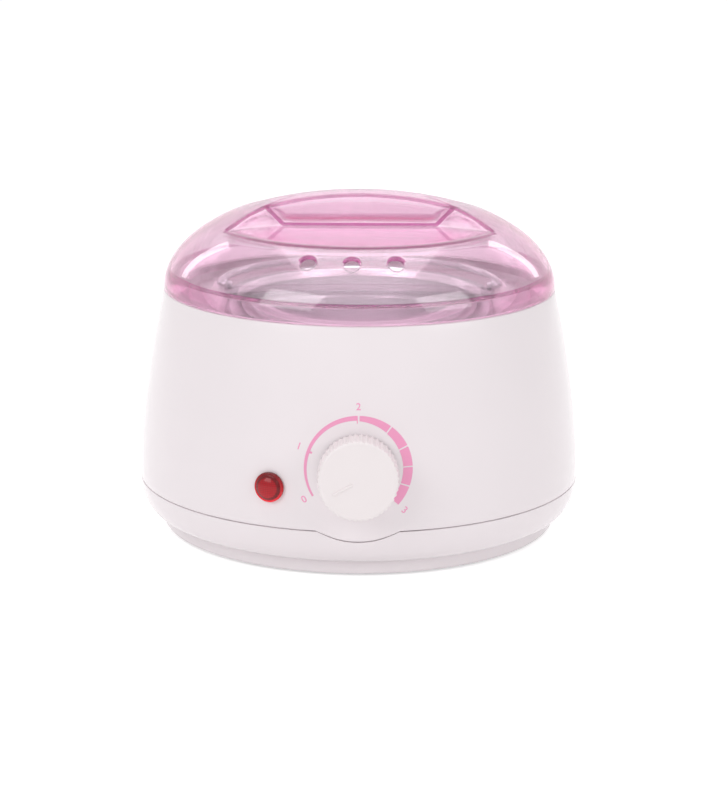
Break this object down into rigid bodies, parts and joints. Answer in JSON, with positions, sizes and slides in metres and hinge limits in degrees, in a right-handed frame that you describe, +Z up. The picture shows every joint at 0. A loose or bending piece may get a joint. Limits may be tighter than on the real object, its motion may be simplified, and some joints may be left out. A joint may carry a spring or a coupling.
{
  "type": "wax heater",
  "caption": "Oval table-top wax heater with a lift-out metal pot, a clear domed lid with a pinch grip, a rotary temperature knob and a pilot lamp.",
  "frame": {"origin": "centre of the bounding box seen from above, at the height of the surface that the feet stand on", "axes": "+Z is up, the knob faces -Y, and +X is to the right when the knob is faced"},
  "size_m": [0.1852, 0.1864, 0.1417],
  "materials": {
    "white_abs": "glossy white moulded ABS with a faint pink cast",
    "knob_abs": "satin white moulded ABS",
    "pink_lid": "clear pink polished plastic",
    "red_lens": "glossy translucent red plastic",
    "lamp_glass": "clear glass neon lamp",
    "pot_aluminium": "polished spun aluminium",
    "well_aluminium": "satin pressed aluminium",
    "handle_steel": "bright nickel-plated wire",
    "zinc_steel": "zinc-plated steel",
    "brass": "plain brass and copper",
    "ceramic": "unglazed ceramic",
    "glass_wool": "soft glass wool",
    "lead_sleeve": "woven glass sleeve",
    "gland_nylon": "moulded white nylon",
    "grey_rubber": "soft grey rubber",
    "dial_ink": "pink screen-printed ink"
  },
  "bodies": {
    "housing": {"housing": "white_abs", "base": "white_abs", "foot_1": "grey_rubber", "foot_2": "grey_rubber", "foot_3": "grey_rubber", "foot_4": "grey_rubber", "base_screw_1": "zinc_steel", "base_screw_2": "zinc_steel", "base_screw_3": "zinc_steel", "base_screw_4": "zinc_steel", "well": "well_aluminium", "well_clamp_1": "zinc_steel", "well_clamp_2": "zinc_steel", "well_clamp_3": "zinc_steel", "clamp_screw_1": "zinc_steel", "clamp_screw_2": "zinc_steel", "clamp_screw_3": "zinc_steel", "heater_band": "zinc_steel", "band_screw": "zinc_steel", "insulation": "glass_wool", "thermal_fuse": "zinc_steel", "fuse_strap": "zinc_steel", "sensor_bulb": "brass", "bulb_strap": "zinc_steel", "capillary": "brass", "thermostat_body": "ceramic", "thermostat_nut": "zinc_steel", "pilot_lens": "red_lens", "pilot_lamp": "lamp_glass", "lamp_retainer": "zinc_steel", "terminal_block": "ceramic", "lead_thermostat": "lead_sleeve", "lead_lamp": "lead_sleeve", "lead_heater": "lead_sleeve", "cord_gland": "gland_nylon", "gland_nut": "gland_nylon"},
    "knob": {"knob": "knob_abs", "knob_clip": "zinc_steel", "thermostat_shaft": "brass"},
    "pot": {"pot": "pot_aluminium", "pot_ear_left": "handle_steel", "pot_ear_right": "handle_steel"},
    "pot_handle": {"pot_handle": "handle_steel"},
    "lid": {"lid": "pink_lid"}
  },
  "joints": [
    {"name": "knob_turn", "type": "hinge", "parent": "housing", "child": "knob", "pos_m": [0, -0.07692, 0.0456], "axis": [0, 0.9959, -0.0908], "range_deg": [0, 246]},
    {"name": "pot_lift", "type": "slide", "parent": "housing", "child": "pot", "axis": [0, 0, 1], "range_m": [0, 0.08]},
    {"name": "handle_swing", "type": "hinge", "parent": "pot", "child": "pot_handle", "pos_m": [0, 0.00515, 0.102], "axis": [1, 0, 0], "range_deg": [0, 20]},
    {"name": "lid_lift", "type": "slide", "parent": "pot", "child": "lid", "axis": [0, 0, 1], "range_m": [0, 0.06]}
  ]
}
